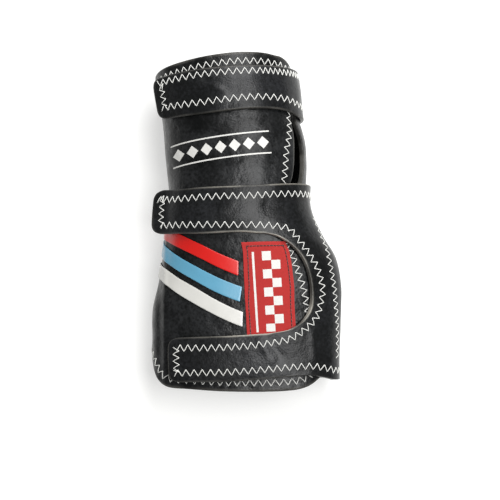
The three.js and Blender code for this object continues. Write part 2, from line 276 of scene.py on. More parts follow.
STRAP_THUMB_SEAM = table(
    SeamPoint,
    (72.2, 0.505), (71.5, 0.49), (70, 0.4666), (65.4, 0.4321),
    (60.3, 0.3934), (59.5, 0.3567), (60.5, 0.3124), (63, 0.2611),
    (66.5, 0.222), (70, 0.1817), (71, 0.145), (71.6, 0.105),
)

# Folds in the leather: which layer, both ends of the crease in millimetres of the part's frame,
# half width, and height, where a negative height sinks in
Fold = namedtuple("Fold", "layer x0 y0 x1 y1 wide high")
FOLDS = table(
    Fold,
    ("panel", -40.3, 6, -40.3, -79, 1.1, 0.5),
    ("panel", -43.6, -26, -43.3, -68, 1.4, -0.4),
    ("panel", -8, 30, 10, 26, 6.0, 0.4),
    ("wrist_strap", -17.5, 66.6, -9.0, 60.5, 1.3, 0.6),
    ("wrist_strap", -22.0, 69.5, -13.5, 65.5, 1.6, -0.4),
    ("wrist_strap", -4.0, 62.5, 12.0, 63.5, 4.5, -0.5),
    ("hand_strap", 32.4, -54, 33.6, -69, 1.3, 0.6),
    ("hand_strap", 36.4, -55, 37.2, -69, 1.5, -0.45),
    ("hand_strap", 6.0, -58.5, 13.5, -70.5, 1.6, 0.5),
    ("hand_strap", 10.0, -57.5, 18.0, -69.0, 1.8, -0.4),
    ("hand_strap", -28.0, 8.0, -14.0, 4.0, 3.0, -0.4),
    ("hand_strap", 8.0, 8.0, 20.0, 5.0, 4.5, -0.45),
)


def through(rows, column, x):
    """A column's value at x of the first column: a smooth curve, with straight ends."""
    last = len(rows) - 1

    def value(i):
        return getattr(rows[i], column)

    def slope(i):
        a, b = max(i - 1, 0), min(i + 1, last)
        return (value(b) - value(a)) / (rows[b][0] - rows[a][0])

    if x <= rows[0][0]:
        return value(0) + slope(0) * (x - rows[0][0])
    if x >= rows[last][0]:
        return value(last) + slope(last) * (x - rows[last][0])
    i = 0
    while x > rows[i + 1][0]:
        i += 1
    width = rows[i + 1][0] - rows[i][0]
    t = (x - rows[i][0]) / width
    bend = t * t * (3 - 2 * t)
    leave = t * (1 - t) ** 2 * width * slope(i)
    arrive = t * t * (1 - t) * width * slope(i + 1)
    return value(i) * (1 - bend) + value(i + 1) * bend + leave - arrive


def numbered(rows):
    """A table's rows, with their own numbers as the first column."""
    Row = namedtuple("Row", ("k",) + rows[0]._fields)
    return [Row(k, *row) for k, row in enumerate(rows)]


def clamp(x):
    return max(0.0, min(1.0, x))


def lerp(a, b, t):
    return a + (b - a) * t


def smoothstep(x, low, high):
    t = clamp((x - low) / (high - low))
    return t * t * (3 - 2 * t)


def raise_sine(value, power):
    return math.copysign(abs(value) ** power, value)


section_cache = {}


def section(at):
    """The form's section at a share of the length, kept because whole rows ask for the same one."""
    key = round(at, 5)
    if key not in section_cache:
        section_cache[key] = [through(FORM, name, key) for name in FormRow._fields[1:]]
    return section_cache[key]


def on_form(turn, at, lift):
    """A point round the form in millimetres, lifted off the hollow's wall."""
    shift, half, high, yaw, square = section(at)
    yaw = math.radians(yaw)
    sine, cosine = math.sin(math.radians(turn)), math.cos(math.radians(turn))
    across = (half + lift) * raise_sine(sine, 2 / square)
    sink = FLOOR_SINK * cosine * cosine if cosine < 0 else 0
    depth = high / 2 - LEATHER + lift + sink
    height = high / 2 + depth * raise_sine(cosine, 2 / square)
    x, y = shift + across * math.cos(yaw), LENGTH * at + across * math.sin(yaw)
    return Vector((x, y, max(height, LEATHER - lift)))


def one_degree(turn, at, lift):
    """The step that a degree's turn makes round the form."""
    return on_form(turn + 0.5, at, lift) - on_form(turn - 0.5, at, lift)


def outward(turn, at, lift):
    """The form's outward direction at a point."""
    along_it = on_form(turn, at + 0.002, lift) - on_form(turn, at - 0.002, lift)
    return one_degree(turn, at, lift).cross(along_it).normalized()


def level(height):
    """A lift that is the same all round."""
    return lambda _turn: height


def on_top(lift, thickness):
    """The lift of a wall's outer side."""
    return lambda turn: lift(turn) + thickness


on_panel = level(LEATHER + GAP)


def flare(turn, start, end, rise):
    """How far a tab springs up towards its end."""
    return rise * clamp((turn - start) / (end - start)) ** 2


def wrist_strap_lift(turn):
    return LEATHER + STRAP_GAP + flare(turn, WRIST_FLARE_FROM, WRIST_TAB, WRIST_FLARE)


def hand_strap_lift(turn):
    """The hand strap clears the label and comes down onto the palm panel round the thumb side."""
    down = smoothstep(turn, STEP_DOWN_FROM, STEP_DOWN_TO)
    spring = flare(turn, MIDDLE_FLARE_FROM, MIDDLE_TAB, MIDDLE_FLARE)
    return LEATHER + STRAP_GAP + (LABEL_CLOTH + GAP) * (1 - down) + spring


# Cells of each pattern: leather's are about 1.6 mm each and are smoothed once, the rest 0.8 mm
BACK_CELLS = (72, 100)
PALM_CELLS = (70, 84)
LABEL_CELLS = (36, 60)
STRIPE_CELLS = (120, 9)
WRIST_CELLS = 78
TAB_CELLS = 38
BAND_CELLS = 26
ARM_CELLS = 18
BAND_ROWS = 40
CORNER_ROWS = 5
STRAP_MIDDLE_ROWS = 9
CORNER_SHARE = 0.22


def strap_rows():
    """Rows across a strap, with tuck, how far the rounded corner of its tab draws in there."""
    StrapRow = namedtuple("StrapRow", "share tuck")
    corner = []
    for k in range(CORNER_ROWS):
        share = k / CORNER_ROWS
        corner.append(StrapRow(CORNER_SHARE * share, 1 - math.sqrt(1 - (1 - share) ** 2)))
    middle = [
        StrapRow(lerp(CORNER_SHARE, 1 - CORNER_SHARE, k / STRAP_MIDDLE_ROWS), 0)
        for k in range(STRAP_MIDDLE_ROWS + 1)
    ]
    return corner + middle + [StrapRow(1 - row.share, row.tuck) for row in reversed(corner)]


STRAP_ROWS = strap_rows()


def strap_at(edges, turn, share):
    low = through(edges, "low", turn)
    high = through(edges, "high", turn)
    return lerp(low, high, share)


def back_place(i, j):
    share = j / BACK_CELLS[1]
    edge = through(BACK_THUMB_EDGE, "turn", share)
    turn = lerp(SEAM + SEAM_HALF_GAP, edge, i / BACK_CELLS[0])
    return turn, strap_at(BACK_EDGES, turn, share)


def palm_place(i, j):
    share = j / PALM_CELLS[1]
    edge = through(PALM_THUMB_EDGE, "turn", share)
    turn = lerp(edge, SEAM + 360 - SEAM_HALF_GAP, i / PALM_CELLS[0])
    return turn, strap_at(PALM_EDGES, turn, share)


def wrist_place(i, j):
    row = STRAP_ROWS[j]
    turn = lerp(WRIST_TAB + WRIST_TAB_CORNER * row.tuck, STRAP_END, i / WRIST_CELLS)
    return turn, strap_at(WRIST_STRAP_EDGES, turn, row.share)


NUMBERED_BAND = numbered(BAND)


def band_row(share):
    """The band's two edges at a share of its length, 0 at the lower strap."""
    index = (1 - share) * (len(BAND) - 1)
    return BandRow(*[through(NUMBERED_BAND, name, index) for name in BandRow._fields])


BAND_EDGES = [band_row(k / BAND_ROWS) for k in range(BAND_ROWS + 1)]
LAST_STRAP_ROW = len(STRAP_ROWS) - 1


def hand_place(i, j):
    if j <= LAST_STRAP_ROW:
        return hand_arm_place(LOWER_EDGES, LOWER_TAB, BAND[-1], i, STRAP_ROWS[j])
    if j >= LAST_STRAP_ROW + BAND_ROWS:
        row = STRAP_ROWS[j - LAST_STRAP_ROW - BAND_ROWS]
        return hand_arm_place(MIDDLE_EDGES, MIDDLE_TAB, BAND[0], i, row)
    row = BAND_EDGES[j - LAST_STRAP_ROW]
    share = clamp((i - TAB_CELLS) / BAND_CELLS)
    return lerp(row.inner_turn, row.thumb_turn, share), lerp(row.inner_at, row.thumb_at, share)


def hand_arm_place(edges, tab, key, i, row):
    if i <= TAB_CELLS:
        turn = lerp(tab + TAB_CORNER * row.tuck, key.inner_turn, i / TAB_CELLS)
    elif i <= TAB_CELLS + BAND_CELLS:
        turn = lerp(key.inner_turn, key.thumb_turn, (i - TAB_CELLS) / BAND_CELLS)
    else:
        turn = lerp(key.thumb_turn, STRAP_END, (i - TAB_CELLS - BAND_CELLS) / ARM_CELLS)
    return turn, strap_at(edges, turn, row.share)


def hand_present(i, j):
    in_band = TAB_CELLS <= i < TAB_CELLS + BAND_CELLS
    return in_band or j < LAST_STRAP_ROW or j >= LAST_STRAP_ROW + BAND_ROWS


def stripe_place(name):
    StripeRow = namedtuple("StripeRow", "turn at")
    line = [StripeRow(*row) for row in STRIPE_LINES[name]]
    end = through(LABEL_SIDES, "left", line[-1].at) - STRIPE_CLEAR[name]
    half = STRIPE_WIDE / 2 / LENGTH

    def place(i, j):
        turn = lerp(STRIPE_START, end, i / STRIPE_CELLS[0])
        return turn, through(line, "at", turn) + half * (2 * j / STRIPE_CELLS[1] - 1)

    return place


def label_at(across, along):
    """A place on the label from its shares, 0 to 1 from the left and from the finger end."""
    at = LABEL_TOP - LABEL_LENGTH / LENGTH * (1 - along)
    left = through(LABEL_SIDES, "left", at)
    right = through(LABEL_SIDES, "right", at)
    return lerp(left, right, across), at


def label_place(i, j):
    return label_at(i / LABEL_CELLS[0], j / LABEL_CELLS[1])


# Cells of the label's solid, whose corners reach its box
LABEL_SOLID_CELLS = (6, 10)


def find_origin():
    """Where the pattern's own origin is in the part's frame, from the label's solid."""
    across, along = LABEL_SOLID_CELLS
    points = [
        on_form(*label_at(i / across, j / along), LEATHER + GAP + lift)
        for i in range(across + 1)
        for j in range(along + 1)
        for lift in (0, LABEL_CLOTH)
    ]
    low, _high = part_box("label")
    return Vector((low[0] / MM - min(p.x for p in points), low[1] / MM - min(p.y for p in points), 0))


ORIGIN = find_origin()


# Folds are on the upper side, above a height, and fade out over a share of their length
FOLDS_ABOVE = 15
FOLD_FADE = 0.15


def folded(layer, point):
    """How far the folds move a point, in millimetres."""
    move = 0.0
    for fold in FOLDS:
        if fold.layer != layer or point.z < FOLDS_ABOVE:
            continue
        start, end = Vector((fold.x0, fold.y0)), Vector((fold.x1, fold.y1))
        along = end - start
        here = Vector((point.x, point.y)) - start
        share = here.dot(along) / along.length_squared
        off = (here - along * clamp(share)).length
        fade = smoothstep(share, -FOLD_FADE, FOLD_FADE)
        fade *= 1 - smoothstep(share, 1 - FOLD_FADE, 1 + FOLD_FADE)
        move += fold.high * fade * math.exp(-((off / fold.wide) ** 2))
    return move


# How high a strap's middle swells over its edges, in millimetres
STRAP_CROWN = 0.7


def crown_between(tables, start, end):
    """How far a strap swells between its edges, fading out from one turn to another."""

    def swell(turn, at):
        fade = 1 - smoothstep(turn, start, end)
        for edges in tables:
            low = through(edges, "low", turn)
            share = (at - low) / (through(edges, "high", turn) - low)
            if fade > 0 and 0 <= share <= 1:
                return STRAP_CROWN * fade * (1 - (2 * share - 1) ** 2)
        return 0.0

    return swell


def flat(_turn, _at):
    return 0.0


# How pale a cut edge shows, from 0 to 1: partly the raw leather's own colour, partly a painted
# highlight.
# The hand strap's edges are painted paler beside the label, fading in and out between these places in
# millimetres of the part's frame.
DARK_CUT = 0.15
LEAST_PALE_CUT = 0.1
PALE_CUT_FROM_X = (-32, 4)
PALE_CUT_TO_X = (36, 42)
PALE_CUT_FROM_Y = (-74, -60)


def dark_cut(_point):
    return DARK_CUT


# The hand strap's cut edges: raw leather, brightened near the label into a painted highlight
def pale_cut_and_highlight(point):
    near_label = smoothstep(point.x, *PALE_CUT_FROM_X) * (1 - smoothstep(point.x, *PALE_CUT_TO_X))
    return lerp(LEAST_PALE_CUT, 1, near_label * smoothstep(point.y, *PALE_CUT_FROM_Y))


# The waves of the leather's unevenness: height and width in millimetres, and each seed's shift
Wave = namedtuple("Wave", "high wide shift")
WAVES = table(
    Wave,
    (0.16, 14, Vector((31.7, 0, 0))),
    (0.06, 5.5, Vector((0, 17.3, 0))),
)


def uneven(seed, point):
    """Soft rise and fall of the leather, in millimetres."""
    return sum(wave.high * noise.noise((point + wave.shift * seed) / wave.wide) for wave in WAVES)


# How a wall is finished: the layer whose folds it follows, a seed and a share for its unevenness,
# how far its rim is rounded in millimetres, where the cut shows pale, and where the wall swells
Finish = namedtuple("Finish", "layer seed uneven rim pale swell")
# What the pattern's UV map says where a face isn't on the wall's outer side
NO_PATTERN = -999


def mesh_of(name, bm):
    mesh = bpy.data.meshes.new(name)
    bm.to_mesh(mesh)
    bm.free()
    return mesh


def leather_wall(name, cells, place, lift, thickness, finish, present=None):
    """A closed wall of one pattern, wrapped on the form, its rim rounded, with a pattern UV map."""
    columns, rows = cells
    bm = bmesh.new()
    bmesh.ops.create_grid(bm, x_segments=columns, y_segments=rows, size=0.5)
    if present:
        absent = []
        for face in bm.faces:
            middle = face.calc_center_median()
            if not present(int((middle.x + 0.5) * columns), int((middle.y + 0.5) * rows)):
                absent.append(face)
        bmesh.ops.delete(bm, geom=absent, context="FACES")
    number = bm.verts.layers.int.new("number")
    pattern = []
    for vert in bm.verts:
        vert[number] = len(pattern)
        turn, at = place(round((vert.co.x + 0.5) * columns), round((vert.co.y + 0.5) * rows))
        pattern.append((turn, at))
        vert.co = (on_form(turn, at, lift(turn)) + ORIGIN) * MM
    inside = list(bm.faces)
    made = bmesh.ops.extrude_face_region(bm, geom=inside)["geom"]
    outside = {item for item in made if isinstance(item, bmesh.types.BMFace)}
    for vert in [item for item in made if isinstance(item, bmesh.types.BMVert)]:
        turn, at = pattern[vert[number]]
        point = on_form(turn, at, lift(turn) + thickness) + ORIGIN
        move = folded(finish.layer, point) - finish.uneven * uneven(finish.seed, point)
        move += finish.swell(turn, at)
        vert.co = (point + outward(turn, at, lift(turn)) * move) * MM
    for face in set(bm.faces) - outside - set(inside):
        face.material_index = 1
    bmesh.ops.recalc_face_normals(bm, faces=bm.faces)
    sharp = [edge for edge in bm.edges if {face.material_index for face in edge.link_faces} == {0, 1}]
    bevelled = bmesh.ops.bevel(
        bm,
        geom=sharp,
        offset=finish.rim * MM,
        offset_type="OFFSET",
        segments=2,
        profile=0.5,
        affect="EDGES",
        clamp_overlap=True,
        material=-1,
    )
    rounded = set(bevelled["faces"])
    uv = bm.loops.layers.uv.new("pattern")
    rim_mark = bm.verts.layers.float.new("rim")
    for face in bm.faces:
        on_rim = face in rounded or face.material_index == 1
        for loop in face.loops:
            place_mm = loop.vert.co / MM
            if on_rim:
                loop.vert[rim_mark] = finish.pale(place_mm)
            loop[uv].uv = place_mm.xy if face in outside else (NO_PATTERN, NO_PATTERN)
        face.material_index = 0
        face.smooth = True
    return new_object(name, mesh_of(name, bm))


def new_object(name, mesh):
    piece = bpy.data.objects.new(name, mesh)
    bpy.context.scene.collection.objects.link(piece)
    return piece


def smooth_once(piece):
    modifier = piece.modifiers.new("smooth", "SUBSURF")
    modifier.levels = 1
    modifier.render_levels = 1


def dress(piece, node, material):
    """The piece stands for the node of the same wall."""
    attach(piece, "root")
    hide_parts(node)
    piece.data.materials.append(material)


# Stitching

# A row of stitches: the edge that it follows as pattern places, how far in it runs,
# what is left off at each end, and its pitch, all in millimetres
StitchRow = namedtuple("StitchRow", "edge margin skip_start skip_end pitch")
THREAD_SIDES = 6
STITCH_STEPS = 5
# How far a stitch stands out and dives in, against the thread's radius
STITCH_RISE = 0.9
STITCH_DIVE = 0.55
# How much of its pitch a straight stitch covers
STITCH_COVER = 0.78
# Steps between two of a seam's points, along a side of the label, and in degrees along an edge
SEAM_STEPS = 8
LABEL_SIDE_STEPS = 20
EDGE_STEP = 2.0
# The least length of a degree, where the form is flat, in millimetres
LEAST_DEGREE = 0.05


def inset(edge, margin, lift):
    """The line that runs at a margin to the left of an edge, both as pattern places."""
    line = []
    for k, (turn, at) in enumerate(edge):
        before = edge[max(k - 1, 0)]
        after = edge[min(k + 1, len(edge) - 1)]
        scale = max(one_degree(turn, at, lift(turn)).length, LEAST_DEGREE)
        run = Vector(((after[0] - before[0]) * scale, (after[1] - before[1]) * LENGTH)).normalized()
        line.append((turn - run.y * margin / scale, at + run.x * margin / LENGTH))
    return line


def spaced(points, step, skip_start, skip_end):
    """Points at equal steps along a line."""
    lengths = [0.0]
    for a, b in zip(points, points[1:]):
        lengths.append(lengths[-1] + (b - a).length)
    total = lengths[-1] - skip_start - skip_end
    count = max(2, round(total / step))
    found, k = [], 0
    for n in range(count + 1):
        want = skip_start + total * n / count
        while k < len(lengths) - 2 and lengths[k + 1] < want:
            k += 1
        share = (want - lengths[k]) / max(lengths[k + 1] - lengths[k], 1e-9)
        found.append(points[k].lerp(points[k + 1], clamp(share)))
    return found


def surface_of(piece):
    """A finder of the nearest place on a piece's finished surface."""
    bm = bmesh.new()
    graph = bpy.context.evaluated_depsgraph_get()
    bm.from_mesh(piece.evaluated_get(graph).to_mesh())
    tree = BVHTree.FromBMesh(bm)
    bm.free()
    return tree


def one_stitch(thread, length):
    """One stitch of thread, an arc that dives into its two needle holes, along +X from the origin."""
    radius = thread / 2
    rise, dive = radius * STITCH_RISE, radius * STITCH_DIVE
    bulge = rise + dive
    bend = length**2 / (8 * bulge) + bulge / 2
    half_angle = math.asin(length / 2 / bend)
    bm = bmesh.new()
    bmesh.ops.create_circle(bm, segments=THREAD_SIDES, radius=radius, cap_ends=False)
    turn_up = Matrix.Rotation(math.pi / 2 - half_angle, 4, "Y")
    bmesh.ops.transform(bm, matrix=Matrix.Translation((0, 0, -dive)) @ turn_up, verts=bm.verts)
    bmesh.ops.spin(
        bm,
        geom=list(bm.verts) + list(bm.edges),
        cent=(length / 2, 0, rise - bend),
        axis=(0, 1, 0),
        angle=2 * half_angle,
        steps=STITCH_STEPS,
        use_merge=False,
        use_duplicate=False,
    )
    bmesh.ops.holes_fill(bm, edges=[edge for edge in bm.edges if edge.is_boundary], sides=0)
    bmesh.ops.recalc_face_normals(bm, faces=bm.faces)
    for face in bm.faces:
        face.smooth = True
    return mesh_of("one_stitch", bm)


def lay_stitch(bm, template, length, start, end, up):
    """Adds a copy of the template that runs from start to end on a surface facing up."""
    along = end - start
    x = along.normalized()
    y = up.cross(x).normalized()
    z = x.cross(y)
    turn = Matrix((x, y, z)).transposed().to_4x4()
    stretch = Matrix.Diagonal((along.length / length, 1, 1, 1))
    count = len(bm.verts)
    bm.from_mesh(template)
    bm.verts.ensure_lookup_table()
    matrix = Matrix.Translation(start) @ turn @ stretch
    bmesh.ops.transform(bm, matrix=matrix, verts=bm.verts[count:])


def row_points(row, lift, step):
    line = inset(row.edge, row.margin, lift)
    points = [(on_form(turn, at, lift(turn)) + ORIGIN) * MM for turn, at in line]
    return spaced(points, step, row.skip_start * MM, row.skip_end * MM)


def zigzag_stitches(name, rows, lift, piece):
    """Zigzag stitching in rows on a piece."""
    sizes = bpy.context.scene.glove_sizes
    surface = surface_of(piece)
    nominal = math.hypot(sizes.zigzag_pitch / 2, sizes.zigzag_width)
    template = one_stitch(sizes.thread, nominal)
    bm = bmesh.new()
    for row in rows:
        points = row_points(row, lift, row.pitch * MM / 2)
        placed = []
        for k, point in enumerate(points):
            run = points[min(k + 1, len(points) - 1)] - points[max(k - 1, 0)]
            _place, up, _face, _gap = surface.find_nearest(point)
            side = up.cross(run).normalized() * (sizes.zigzag_width / 2) * (1 if k % 2 else -1)
            at, up, _face, _gap = surface.find_nearest(point + side)
            placed.append((at, up))
        for (start, up_a), (end, up_b) in zip(placed, placed[1:]):
            lay_stitch(bm, template, nominal, start, end, (up_a + up_b).normalized())
    finish_stitches(name, bm, template, "white_thread")


def running_stitches(name, rows, lift, piece):
    """Straight stitches in rows, with a small space at each needle hole."""
    sizes = bpy.context.scene.glove_sizes
    surface = surface_of(piece)
    nominal = sizes.label_pitch * STITCH_COVER
    template = one_stitch(sizes.label_thread, nominal)
    space = (1 - STITCH_COVER) / 2
    bm = bmesh.new()
    for row in rows:
        points = row_points(row, lift, row.pitch * MM)
        for start, end in zip(points, points[1:]):
            start_at, up, _face, _gap = surface.find_nearest(start.lerp(end, space))
            end_at, _up, _face, _gap = surface.find_nearest(start.lerp(end, 1 - space))
            lay_stitch(bm, template, nominal, start_at, end_at, up)
    finish_stitches(name, bm, template, "dark_thread")


def finish_stitches(name, bm, template, thread):
    """A piece of all the stitches, in the thread of that name, which is made when first asked for."""
    bpy.data.meshes.remove(template)
    piece = new_object(name, mesh_of(name, bm))
    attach(piece, "root")
    colour = getattr(bpy.context.scene.glove_colours, thread)
    piece.data.materials.append(bpy.data.materials.get(thread) or spun_thread(thread, colour))


def seam_line(points):
    """A smooth line through a seam's few points, as pattern places."""
    rows = numbered(points)
    steps = [k / SEAM_STEPS for k in range(SEAM_STEPS * (len(points) - 1) + 1)]
    return [(through(rows, "turn", step), through(rows, "at", step)) for step in steps]


def edge_line(edges, side, start, end):
    """The low or the high edge from one turn to another, as pattern places."""
    count = max(2, round(abs(end - start) / EDGE_STEP))
    turns = [lerp(start, end, k / count) for k in range(count + 1)]
    return [(turn, through(edges, side, turn)) for turn in turns]


def tab_end(place, first):
    """A tab's cut end, from its far corner to its near one, as pattern places."""
    return [place(0, first + j) for j in reversed(range(LAST_STRAP_ROW + 1))]


# Materials


def linear(code):
    """A colour for Blender from an sRGB hex value."""
    parts = [int(code[k : k + 2], 16) / 255 for k in (1, 3, 5)]
    return tuple(c / 12.92 if c <= 0.04045 else ((c + 0.055) / 1.055) ** 2.4 for c in parts)


def add_node(tree, kind, inputs=None, output=0, **settings):
    """Adds a node with its settings, each input given a value or linked from another node's output,
    and hands back one of its own outputs."""
    node = tree.nodes.new("ShaderNode" + kind)
    for name, value in settings.items():
        setattr(node, name, value)
    for key, value in (inputs or {}).items():
        socket = node.inputs[key]
        if isinstance(value, bpy.types.NodeSocket):
            tree.links.new(value, socket)
        elif socket.type == "RGBA":
            socket.default_value = (*value, 1)
        else:
            socket.default_value = value
    return node.outputs[output]


# The two colour sockets of a mix node by their places, because other sockets share their names
FIRST = 6
SECOND = 7
COLOUR_MIX = {"output": 2, "data_type": "RGBA"}
SMOOTHLY = {"interpolation_type": "SMOOTHSTEP"}


def new_material(name, **shader_values):
    """An empty node material with its shader, whose plain values are set on its own sockets."""
    material = bpy.data.materials.new(name)
    material.use_nodes = True
    tree = material.node_tree
    shader = tree.nodes["Principled BSDF"]
    for key, value in shader_values.items():
        shader.inputs[key.replace("_", " ")].default_value = value
    return material, tree, shader


def wire(tree, shader, **outputs):
    """Links other nodes' outputs to the shader's sockets."""
    for key, output in outputs.items():
        tree.links.new(output, shader.inputs[key.replace("_", " ")])


def millimetre_places(tree):
    """Object coordinates counted in millimetres."""
    where = add_node(tree, "TexCoord", output="Object")
    scale = (1 / MM, 1 / MM, 1 / MM)
    return add_node(tree, "Mapping", {"Vector": where, "Scale": scale})


# The soft creases of each leather: how deep in millimetres, and how wide against the size setting
Crumple = namedtuple("Crumple", "deep wide")
PANEL_CRUMPLE = Crumple(0.5, 1.0)
STRAP_CRUMPLE = Crumple(0.75, 2.3)
# Patches of wear with a painted sheen, against the width of the creases, and fine mottling, against
# the grain's
PATCHES_WIDE = 2.6
MOTTLE_WIDE = 1.6
# How the patterns become wear with a painted sheen, the rim's pale share of raw edge and painted
# highlight, and roughness
WEAR_AND_SHEEN_RANGE = {"From Min": 0.12, "From Max": 0.42}
RIM_RANGE = {"From Min": 0.36, "From Max": 0.56, "To Min": 0.15, "To Max": 1.0}
SHINE_RANGE = {"From Min": 0.3, "From Max": 0.7, "To Min": 0.27, "To Max": 0.36}

# Depths of the fine reliefs, in millimetres
PEBBLES_DEEP = 0.07
VINYL_DEEP = 0.08
WEFT_DEEP = 0.06
PLIES_DEEP = 0.04
# Widths of the fine reliefs and mottlings, in millimetres
VINYL_SPOTS = 6
CLOTH_SPOTS = 1.2
PLIES_WIDE = 0.4
BOARD_SPOTS = 90


def shade(colour, share):
    return tuple(min(part * share, 1) for part in colour)


def grained_leather(name, leather, worn, crumple_kind, print_colour=None):
    """Chrome-tanned cowhide with a black pigmented finish, pressed with a fine grain. The finish
    gives a soft broad shine that breaks up over the crumpled skin. Paler patches of wear also carry a
    painted sheen, and the cut edges show paler, partly as a painted highlight."""
    material, tree, shader = new_material(name, IOR=1.5, Specular_IOR_Level=0.22)
    scene = bpy.context.scene
    grain_mm = scene.glove_sizes.grain / MM
    crumple_mm = scene.glove_sizes.crumple / MM * crumple_kind.wide
    places = millimetre_places(tree)
    folds = {"Vector": places, "Scale": 1 / crumple_mm, "Detail": 2.0, "Roughness": 0.45}
    crumple = add_node(tree, "TexNoise", folds)
    spots = {"Vector": places, "Scale": 1 / (crumple_mm * PATCHES_WIDE), "Detail": 2.0}
    patches = add_node(tree, "TexNoise", spots)
    specks = {"Vector": places, "Scale": 1 / (grain_mm * MOTTLE_WIDE), "Detail": 3.0, "Roughness": 0.6}
    mottle = add_node(tree, "TexNoise", specks)
    cells = {"Vector": places, "Scale": 1 / grain_mm}
    pebbles = add_node(tree, "TexVoronoi", cells, feature="SMOOTH_F1")

    # Paler patches: partly wear, partly a painted sheen on the black finish
    rubbed_and_painted_light = add_node(tree, "Math", {0: mottle, 1: patches}, operation="MULTIPLY")
    wear_and_sheen_share = add_node(tree, "MapRange", {"Value": rubbed_and_painted_light, **WEAR_AND_SHEEN_RANGE}, **SMOOTHLY)
    body = add_node(tree, "Mix", {"Factor": wear_and_sheen_share, FIRST: leather, SECOND: worn}, **COLOUR_MIX)
    # Cut edges painted pale: the raw leather's colour, partly a painted highlight
    rim = add_node(tree, "Attribute", output="Fac", attribute_name="rim")
    rim_pale_share = add_node(tree, "MapRange", {"Value": patches, **RIM_RANGE}, **SMOOTHLY)
    pale = add_node(tree, "Math", {0: rim, 1: rim_pale_share}, operation="MULTIPLY")
    edged = {"Factor": pale, FIRST: body, SECOND: scene.glove_colours.cut_edge}
    colour = add_node(tree, "Mix", edged, **COLOUR_MIX)
    if print_colour:
        colour = printed_row(tree, colour, print_colour)

    shine = add_node(tree, "MapRange", {"Value": crumple, **SHINE_RANGE}, **SMOOTHLY)
    creased = add_node(tree, "Bump", {"Height": crumple, "Distance": crumple_kind.deep * MM})
    grain = {"Height": pebbles, "Distance": PEBBLES_DEEP * MM, "Normal": creased}
    skin = add_node(tree, "Bump", grain)
    wire(tree, shader, Base_Color=colour, Roughness=shine, Normal=skin)
    return material


# The plain ornament printed on the back panel: a row of lozenges between two thin rules
PRINT_MIDDLE = (-12.8, 35.5)
PRINT_TURN = 7.0
PRINT_HALF = 24.5
LOZENGE_PITCH = 7.0
LOZENGE_WIDE = 2.9
LOZENGE_HIGH = 3.1
RULE_OFF = 5.4
RULE_HALF = 0.35
INK_COVER = 0.92


def printed_row(tree, under, ink):
    """The ornament over the leather's colour, on the pattern's own UV map in millimetres."""
    placed = {
        "Vector": add_node(tree, "UVMap", uv_map="pattern"),
        "Location": (*PRINT_MIDDLE, 0),
        "Rotation": (0, 0, math.radians(PRINT_TURN)),
    }
    centred = add_node(tree, "Mapping", placed, vector_type="TEXTURE")
    along = add_node(tree, "SeparateXYZ", {0: centred}, "X")
    side = add_node(tree, "SeparateXYZ", {0: centred}, "Y")
    across = add_node(tree, "Math", {0: side}, operation="ABSOLUTE")
    swing = add_node(tree, "Math", {0: along, 1: LOZENGE_PITCH / 2}, operation="PINGPONG")
    off_along = add_node(tree, "Math", {0: swing, 1: LOZENGE_WIDE}, operation="DIVIDE")
    off_across = add_node(tree, "Math", {0: across, 1: LOZENGE_HIGH}, operation="DIVIDE")
    off = add_node(tree, "Math", {0: off_along, 1: off_across}, operation="ADD")
    in_lozenge = add_node(tree, "Math", {0: off, 1: 1.0}, operation="LESS_THAN")
    rule = {0: across, 1: RULE_OFF, 2: RULE_HALF}
    in_rule = add_node(tree, "Math", rule, operation="COMPARE")
    inked = add_node(tree, "Math", {0: in_lozenge, 1: in_rule}, operation="MAXIMUM")
    off_middle = add_node(tree, "Math", {0: along}, operation="ABSOLUTE")
    within = add_node(tree, "Math", {0: off_middle, 1: PRINT_HALF}, operation="LESS_THAN")
    shown = add_node(tree, "Math", {0: inked, 1: within}, operation="MULTIPLY")
    cover = add_node(tree, "Math", {0: shown, 1: INK_COVER}, operation="MULTIPLY")
    return add_node(tree, "Mix", {"Factor": cover, FIRST: under, SECOND: ink}, **COLOUR_MIX)


def glossy_vinyl(name, colour):
    """Calendered PVC sheet, heat-set on the leather: an even colour with a smooth, clear shine."""
    shine = {"IOR": 1.53, "Roughness": 0.34, "Coat_Weight": 0.25, "Coat_Roughness": 0.18}
    material, tree, shader = new_material(name, **shine)
    spots = {"Vector": millimetre_places(tree), "Scale": 1 / VINYL_SPOTS, "Detail": 2.0}
    soft = add_node(tree, "TexNoise", spots)
    tints = {"Factor": soft, FIRST: shade(colour, 0.92), SECOND: shade(colour, 1.05)}
    sheet = add_node(tree, "Mix", tints, **COLOUR_MIX)
    waves = add_node(tree, "Bump", {"Height": soft, "Distance": VINYL_DEEP * MM})
    wire(tree, shader, Base_Color=sheet, Normal=waves)
    return material


# The label's plain woven ornament, in millimetres of its own face: a chequered band and a rule
CHECK = 4.4
BAND_MIDDLE = 14.2
RULE_AT = 5.4
ORNAMENT_END = 5.0
LABEL_RULE_HALF = 0.55
WEFT = 0.55


